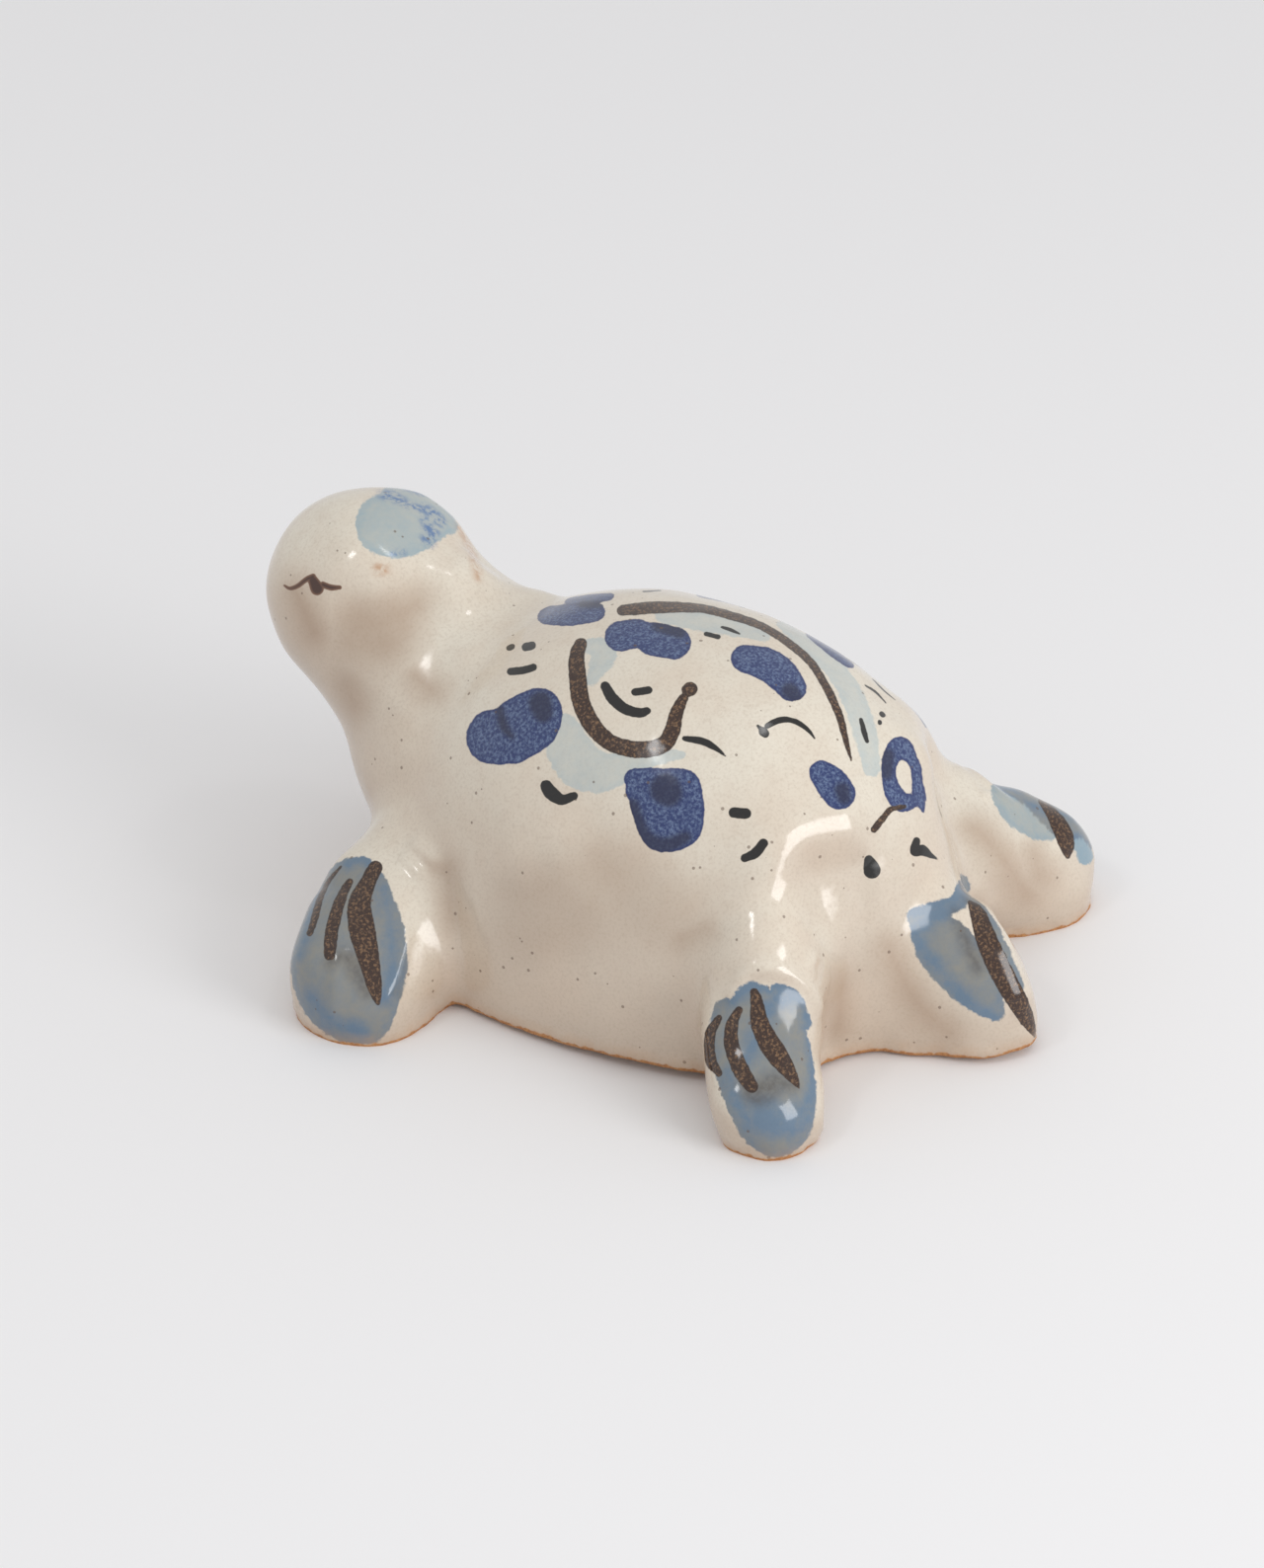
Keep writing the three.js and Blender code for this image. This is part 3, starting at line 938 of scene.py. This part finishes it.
def dress_piece(piece):
    """Gives a piece the skin's smooth normals and its painted values, so that no seam shows."""
    skin = clay_skin()
    tree = bench_brush().tree
    mesh = piece.data
    polygons = skin.data.polygons
    points = skin.data.vertices
    skin_normals = surface_arrays(skin.data)[1]
    columns = [[item.value for item in skin.data.attributes[name].data] for name in CARRIED]
    table = np.stack(columns, axis=1)
    carried = np.zeros((len(mesh.vertices), len(CARRIED)))
    normals = np.zeros((len(mesh.vertices), 3))
    on_skin = np.zeros(len(mesh.vertices), bool)
    for vert in mesh.vertices:
        place, _, index, gap = tree.find_nearest(vert.co)
        corners = polygons[index].vertices[:]
        weights = np.array(poly_3d_calc([points[corner].co for corner in corners], place))
        carried[vert.index] = weights @ table[corners, :]
        normals[vert.index] = weights @ skin_normals[corners, :]
        on_skin[vert.index] = gap < ON_SKIN
    places = surface_arrays(mesh)[0]
    carried[~on_skin, CARRIED.index("bare")] = FAR
    carried[places[:, 2] * MM < SOLE_LEVEL, CARRIED.index("bare")] = 0
    for name, column in zip(CARRIED, carried.T):
        add_values(mesh, name, column)
    for name, column in painted_values(places, normals).items():
        add_values(mesh, name, column)
    split = []
    for polygon in mesh.polygons:
        polygon.use_smooth = True
        corners = list(polygon.vertices)
        facing = normals[corners] @ np.array(polygon.normal)
        if on_skin[corners].all() and facing.min() > FACES_SKIN:
            split.extend(normals[corner] for corner in corners)
        else:
            split.extend([polygon.normal] * len(corners))
    mesh.normals_split_custom_set(split)


def glazed_piece(name, rounds=1):
    """Cuts, paints and glazes one piece, which then stands for its node."""
    piece = cut_piece(name)
    refine_at_marks(piece, rounds)
    dress_piece(piece)
    piece.data.materials.clear()
    piece.data.materials.append(glaze_material())
    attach(piece, "root")
    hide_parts(name)


class NodeTree:
    """A short way to write a material's nodes."""

    def __init__(self, tree):
        self.tree = tree

    def add(self, kind, inputs=None, **settings):
        node = self.tree.nodes.new("ShaderNode" + kind)
        for key, value in settings.items():
            setattr(node, key, value)
        for key, value in (inputs or {}).items():
            if isinstance(value, bpy.types.NodeSocket):
                self.tree.links.new(value, node.inputs[key])
            else:
                node.inputs[key].default_value = value
        return node

    def math(self, operation, first, second=0.0, clamp=False):
        return self.add("Math", {0: first, 1: second}, operation=operation, use_clamp=clamp).outputs[0]

    def product(self, first, second):
        return self.math("MULTIPLY", first, second)

    def attribute(self, name):
        return self.add("Attribute", attribute_name=name).outputs["Fac"]

    def noise(self, place, scale, detail, rough):
        inputs = {"Vector": place, "Scale": scale, "Detail": detail, "Roughness": rough}
        return self.add("TexNoise", inputs).outputs["Fac"]

    def ramp(self, value, low, high, start=0.0, end=1.0):
        """The value between low and high, carried smoothly from start to end."""
        inputs = {"Value": value, "From Min": low, "From Max": high, "To Min": start, "To Max": end}
        return self.add("MapRange", inputs, interpolation_type="SMOOTHSTEP").outputs["Result"]

    def mix(self, share, first, second):
        """Two colours mixed, by a Mix node whose sockets for colours are 6 and 7."""
        node = self.add("Mix", data_type="RGBA")
        for socket, value in ((node.inputs[0], share), (node.inputs[6], first), (node.inputs[7], second)):
            if isinstance(value, bpy.types.NodeSocket):
                self.tree.links.new(value, socket)
            else:
                socket.default_value = value
        return node.outputs[2]


# Colours as the eye names them, 0 to 255.
COLOURS = {
    # The slip is painted lighter on top and darker on the sides, as painted light and shade.
    "slip, painted shade on the sides": (194, 178, 161),
    "slip, painted light on top": (222, 214, 199),
    "slip, pooled": (190, 164, 142),
    # Painted shade: the slip's darker colour in patches.
    "slip, painted shade patches": (164, 138, 116),
    "wash, thin": (186, 194, 191),
    "wash, thick": (150, 180, 192),
    "foot wash, thin": (121, 122, 117),
    "foot wash, thick": (70, 104, 132),
    "foot wash, shaded": (82, 74, 66),
    "cobalt": (26, 46, 98),
    "cobalt, grain": (98, 116, 150),
    "cobalt, rim": (18, 38, 94),
    "cobalt, loaded": (20, 26, 60),
    "stain": (84, 116, 160),
    "brown": (48, 25, 12),
    "brown, grain": (122, 92, 64),
    "brown, rim": (34, 17, 8),
    "eye": (66, 38, 28),
    "eye, rim": (118, 84, 64),
    "speck": (92, 70, 54),
    "black": (6, 4, 3),
    "black, grain": (28, 22, 18),
    "rust": (176, 122, 76),
    "thin glaze": (188, 146, 108),
    "clay": (160, 102, 56),
    "clay, grain": (190, 140, 88),
}
# Each noise: how fine it is per millimetre, how many times it is folded in, and how rough it is.
NOISES = {
    "broad": (0.1, 3, 0.5),
    "patchy": (0.45, 4, 0.5),
    "ragged": (1.3, 3, 0.6),
    "grain": (3.2, 3, 0.65),
    "peel": (0.6, 1, 0.5),
}
# Layers over the slip: a noise, where it begins and is full, its share then, and the colour.
SLIP_LAYERS = (
    ("broad", 0.35, 0.75, 0.4, (208, 188, 168)),
    ("patchy", 0.4, 0.8, 0.2, (196, 176, 158)),
    ("grain", 0.42, 0.75, 0.26, (165, 146, 128)),
)
# How ragged each mark's edge is and how softly it ends, in millimetres.
EDGES = {"wash": (0.8, 0.12), "cobalt": (0.3, 0.07), "brown": (0.25, 0.06), "eye": (0.08, 0.05)}
EDGES["black"] = (0.16, 0.05)
# Where the grain begins and is full in each pigment.
GRAINS = {"cobalt": (0.4, 0.7), "brown": (0.47, 0.68), "black": (0.5, 0.75), "clay": (0.35, 0.7)}
# Iron specks: cells to the millimetre, the share of cells without one, the largest speck's reach
# as a share of a cell, and how strong a speck is.
SPECK_CELLS = 0.8
SPECKLESS = 0.6
SPECK_REACH = 0.15
SPECK_SHARE = 0.6
# Heights of the glaze's orange peel, of a speck and of the bare clay's grain, in millimetres.
PEEL_HEIGHT = 0.035
SPECK_HEIGHT = 0.015
GRAIN_HEIGHT = 0.08
GLAZE_ROUGHNESS = (0.1, 0.17)
CLAY_ROUGHNESS = 0.75
GLAZE_IOR = 1.62


def linear(red, green, blue):
    """A colour as the eye names it, 0 to 255, as the shader's linear colour."""
    shares = [channel / 255 for channel in (red, green, blue)]
    return (*[s / 12.92 if s < 0.04045 else ((s + 0.055) / 1.055) ** 2.4 for s in shares], 1)


class Glaze(NodeTree):
    """The glaze's looks, laid on from the slip up to the bare clay."""

    def __init__(self, tree):
        super().__init__(tree)
        spot = self.add("TexCoord").outputs["Object"]
        self.place = self.add("VectorMath", {0: spot, "Scale": 1 / MM}, operation="SCALE").outputs[0]
        self.noises = {name: self.noise(self.place, *sizes) for name, sizes in NOISES.items()}
        self.specks = self.speck_cover()
        self.bare = self.ramp(self.ragged_edge("bare", 0.7), 0.35, 0.6, 1, 0)

    def noisy(self, name, low, high, start=0.0, end=1.0):
        """A share that follows a noise, from start where it is low to end where it is high."""
        return self.ramp(self.noises[name], low, high, start, end)

    def loose(self, name, share):
        """How much of a loose pigment lies on a point, times a share."""
        return self.product(self.attribute(name), share)

    def ragged_edge(self, name, raggedness):
        """An attribute's distance in millimetres, made ragged."""
        shift = self.math("SUBTRACT", self.noises["ragged"], 0.5)
        return self.math("ADD", self.attribute(name), self.product(shift, raggedness))

    def cover(self, name):
        """A mark's ragged distance, and how much of the mark lies on a point."""
        raggedness, soft = EDGES[name]
        edge = self.ragged_edge(name, raggedness)
        return edge, self.ramp(edge, -soft, soft, 1, 0)

    def over(self, colour, share, name):
        """A colour, or a named one, with a share of a named one over it."""
        below = linear(*COLOURS[colour]) if isinstance(colour, str) else colour
        return self.mix(share, below, linear(*COLOURS[name]))

    def grained(self, name):
        return self.over(name, self.noisy("grain", *GRAINS[name]), name + ", grain")

    def speck_cover(self):
        """Where the iron specks are: round spots of many sizes, one to a cell at most."""
        cells = self.add("TexVoronoi", {"Vector": self.place, "Scale": SPECK_CELLS, "Randomness": 1.0})
        chosen = self.add("SeparateColor", {"Color": cells.outputs["Color"]})
        reach = self.ramp(chosen.outputs[0], SPECKLESS, 1.0, 0.0, SPECK_REACH)
        return self.math("LESS_THAN", cells.outputs["Distance"], reach)

    def slip(self):
        """Warm slip with painted light on top and painted shade on the sides and in patches,
        clouded and pooled in the joints.
        """
        # Painted light and shade: lighter slip where the skin faces up, darker on the sides.
        colour = self.over("slip, painted shade on the sides", self.ramp(self.attribute("upward"), -0.1, 0.8), "slip, painted light on top")
        for noise, low, high, share, shade in SLIP_LAYERS:
            colour = self.mix(self.noisy(noise, low, high, 0, share), colour, linear(*shade))
        colour = self.over(colour, self.loose("pooled", 0.28), "slip, pooled")
        # Painted shade: darker slip in patches, broken up by broad noise.
        toast = self.loose("toast", self.noisy("broad", 0.2, 0.8, 0.6, 0.9))
        return self.over(colour, toast, "slip, painted shade patches")

    def with_washes(self, colour):
        """Pale washes on body and head and strong ones on the feet, thick at rims and where loaded."""
        edge, wash = self.cover("wash")
        tint = self.attribute("wash_tint")
        patches = self.noisy("patchy", 0.3, 0.75, 0, 0.3)
        uneven = self.math("ADD", patches, self.noisy("ragged", 0.3, 0.7, 0, 0.2))
        loaded = self.math("ADD", uneven, self.loose("foot_load", 0.75))
        thick = self.math("ADD", self.product(self.ramp(edge, -1.1, -0.1), 0.3), loaded, clamp=True)
        thin_colour = self.over("wash, thin", tint, "foot wash, thin")
        wash_colour = self.mix(thick, thin_colour, self.over("wash, thick", tint, "foot wash, thick"))
        colour = self.mix(self.product(wash, self.ramp(tint, 0.05, 0.3, 0.55, 0.9)), colour, wash_colour)
        shade = self.loose("foot_shade", self.noisy("ragged", 0.3, 0.7, 0.45, 0.75))
        return self.over(colour, self.product(shade, wash), "foot wash, shaded")

    def with_cobalt(self, colour):
        """Cobalt touches, darker at the rim and where the brush was set down."""
        edge, cobalt = self.cover("cobalt")
        touch = self.over(self.grained("cobalt"), self.ramp(edge, -0.4, -0.12, 0, 0.75), "cobalt, rim")
        touch = self.over(touch, self.loose("cobalt_load", 0.85), "cobalt, loaded")
        stain = self.loose("stain", self.noisy("ragged", 0.4, 0.6, 0.15, 0.95))
        return self.mix(cobalt, self.over(colour, stain, "stain"), touch)

    def with_lines(self, colour):
        """Brown strokes, the eyes, iron specks and black dashes."""
        edge, brown = self.cover("brown")
        stroke = self.over(self.grained("brown"), self.ramp(edge, -0.25, -0.05, 0, 0.6), "brown, rim")
        colour = self.mix(brown, colour, stroke)
        edge, eye = self.cover("eye")
        colour = self.mix(eye, colour, self.over("eye", self.ramp(edge, -0.3, 0), "eye, rim"))
        colour = self.over(colour, self.product(self.specks, SPECK_SHARE), "speck")
        return self.mix(self.cover("black")[1], colour, self.grained("black"))

    def with_clay(self, colour):
        """Rust, the glaze thin and brown beside bare clay, and the clay itself."""
        rust = self.loose("rust", self.noisy("ragged", 0.35, 0.62, 0.15, 0.75))
        colour = self.over(colour, rust, "rust")
        thin = self.ramp(self.attribute("bare"), 0.4, 2.2, 0.4, 0)
        thin = self.product(thin, self.noisy("patchy", 0.3, 0.7, 0.4, 1))
        return self.mix(self.bare, self.over(colour, thin, "thin glaze"), self.grained("clay"))

    def roughness(self):
        gloss = self.noisy("patchy", 0.3, 0.7, *GLAZE_ROUGHNESS)
        return self.add("Mix", {0: self.bare, 2: gloss, 3: CLAY_ROUGHNESS}).outputs[0]

    def relief(self):
        """Orange peel, specks that stand up a little, and the grain of bare clay."""
        specks = self.product(self.specks, SPECK_HEIGHT)
        height = self.math("ADD", self.product(self.noises["peel"], PEEL_HEIGHT), specks)
        clay_grain = self.product(self.product(self.noises["grain"], self.bare), GRAIN_HEIGHT)
        height = self.math("ADD", height, clay_grain)
        return self.add("Bump", {"Height": height, "Distance": MM, "Strength": 1.0}).outputs["Normal"]


def glaze_material():
    """The one glaze over slip, marks and bare clay, made when it is first asked for."""
    if "painted_glaze" in bpy.data.materials:
        return bpy.data.materials["painted_glaze"]
    material = bpy.data.materials.new("painted_glaze")
    material.use_nodes = True
    tree = material.node_tree
    glaze = Glaze(tree)
    colour = glaze.slip()
    for layer in (glaze.with_washes, glaze.with_cobalt, glaze.with_lines, glaze.with_clay):
        colour = layer(colour)
    shader = tree.nodes["Principled BSDF"]
    tree.links.new(colour, shader.inputs["Base Color"])
    tree.links.new(glaze.roughness(), shader.inputs["Roughness"])
    tree.links.new(glaze.relief(), shader.inputs["Normal"])
    shader.inputs["IOR"].default_value = GLAZE_IOR
    return material


def make_camera():
    """A camera that sees the turtle as the photograph does."""
    view = PhotoView()
    data = bpy.data.cameras.new("photo_camera")
    data.sensor_fit = "VERTICAL"
    data.sensor_height = SENSOR_HEIGHT
    data.lens = PHOTO_FOCUS * SENSOR_HEIGHT / PHOTO_HEIGHT
    data.clip_start = CLIP_NEAR
    data.clip_end = CLIP_FAR
    camera = in_scene("photo_camera", data)
    turn = Matrix((view.across, view.up, view.back)).transposed()
    camera.matrix_world = Matrix.Translation(view.eye) @ turn.to_4x4()
    bpy.context.scene.camera = camera


# The lamps' turns from the camera toward the picture's right and their rises, in degrees, then
# their widths and heights and how far they stand from the turtle, in metres.
LAMPS = {
    "key": (52, 22, (0.28, 0.34)),
    "top": (90, 70, (0.07, 0.07)),
    "fill": (-52, 55, (0.09, 0.09)),
}
LAMP_DISTANCE = 0.6
FLOOR_SIZE = 3
FLOOR_ROUGHNESS = 0.9


def softbox(name, power):
    """A lamp that aims at the turtle."""
    turn, rise, size = LAMPS[name]
    turn, rise = math.radians(turn), math.radians(rise)
    view = PhotoView()
    level = Vector((view.back.x, view.back.y, 0)).normalized()
    flat_aim = level * math.cos(turn) + view.across * math.sin(turn)
    aim = flat_aim * math.cos(rise) + Vector((0, 0, math.sin(rise)))
    data = bpy.data.lights.new(name, "AREA")
    data.shape = "RECTANGLE"
    data.size, data.size_y = size
    data.energy = power
    lamp = in_scene(name, data)
    lamp.location = aim * LAMP_DISTANCE
    lamp.rotation_euler = aim.to_track_quat("Z", "Y").to_euler()


def make_table(colour):
    """A wide table top that belongs to the stage and not to the turtle."""
    shape = bmesh.new()
    bmesh.ops.create_grid(shape, x_segments=1, y_segments=1, size=FLOOR_SIZE)
    floor = made_object("table_top", shape)
    material = bpy.data.materials.new("table")
    material.use_nodes = True
    shader = material.node_tree.nodes["Principled BSDF"]
    shader.inputs["Base Color"].default_value = (*colour, 1)
    shader.inputs["Roughness"].default_value = FLOOR_ROUGHNESS
    floor.data.materials.append(material)


def make_sky(strength):
    """Even white light from all round."""
    world = bpy.data.worlds.new("studio")
    world.use_nodes = True
    background = world.node_tree.nodes["Background"]
    background.inputs["Strength"].default_value = strength
    background.inputs["Color"].default_value = (1, 1, 1, 1)
    bpy.context.scene.world = world


class TURTLE_OT_body(bpy.types.Operator):
    """Cut and glaze the domed body"""

    bl_idname = "turtle.body"
    bl_label = "Body"

    def execute(self, context):
        glazed_piece(BODY)
        return {"FINISHED"}


class TURTLE_OT_head(bpy.types.Operator):
    """Cut and glaze the head and neck"""

    bl_idname = "turtle.head"
    bl_label = "Head and neck"

    def execute(self, context):
        glazed_piece(HEAD, 2)
        return {"FINISHED"}


class TURTLE_OT_feet(bpy.types.Operator):
    """Cut and glaze the four feet"""

    bl_idname = "turtle.feet"
    bl_label = "Feet"

    def execute(self, context):
        for name in FEET:
            glazed_piece(name)
        return {"FINISHED"}


class TURTLE_OT_tail(bpy.types.Operator):
    """Cut and glaze the tail"""

    bl_idname = "turtle.tail"
    bl_label = "Tail"

    def execute(self, context):
        glazed_piece(TAIL)
        return {"FINISHED"}


class TURTLE_OT_stage(bpy.types.Operator):
    """Set the table, the camera and the light"""

    bl_idname = "turtle.stage"
    bl_label = "Stage"

    def execute(self, context):
        stage = context.scene.turtle_stage
        make_camera()
        make_table(stage.floor_colour)
        make_sky(stage.sky)
        for name in LAMPS:
            softbox(name, getattr(stage, name))
        context.scene.view_settings.view_transform = "Standard"
        return {"FINISHED"}


class TURTLE_PT_panel(bpy.types.Panel):
    """The turtle's tools"""

    bl_idname = "TURTLE_PT_panel"
    bl_label = "Turtle"
    bl_space_type = "VIEW_3D"
    bl_region_type = "UI"
    bl_category = "Turtle"

    def draw(self, context):
        for operator in OPERATORS:
            self.layout.operator(operator.bl_idname)


OPERATORS = (TURTLE_OT_body, TURTLE_OT_head, TURTLE_OT_feet, TURTLE_OT_tail, TURTLE_OT_stage)
CLASSES = (TurtleClay, TurtleStage) + OPERATORS + (TURTLE_PT_panel,)


def register():
    for item in CLASSES:
        bpy.utils.register_class(item)
    bpy.types.Scene.turtle_clay = PointerProperty(type=TurtleClay)
    bpy.types.Scene.turtle_stage = PointerProperty(type=TurtleStage)


def unregister():
    del bpy.types.Scene.turtle_stage
    del bpy.types.Scene.turtle_clay
    for item in reversed(CLASSES):
        bpy.utils.unregister_class(item)


def main():
    register()
    bpy.ops.turtle.body()
    bpy.ops.turtle.head()
    bpy.ops.turtle.feet()
    bpy.ops.turtle.tail()
    clear_bench()
    bpy.ops.turtle.stage()


if __name__ == "__main__":
    main()
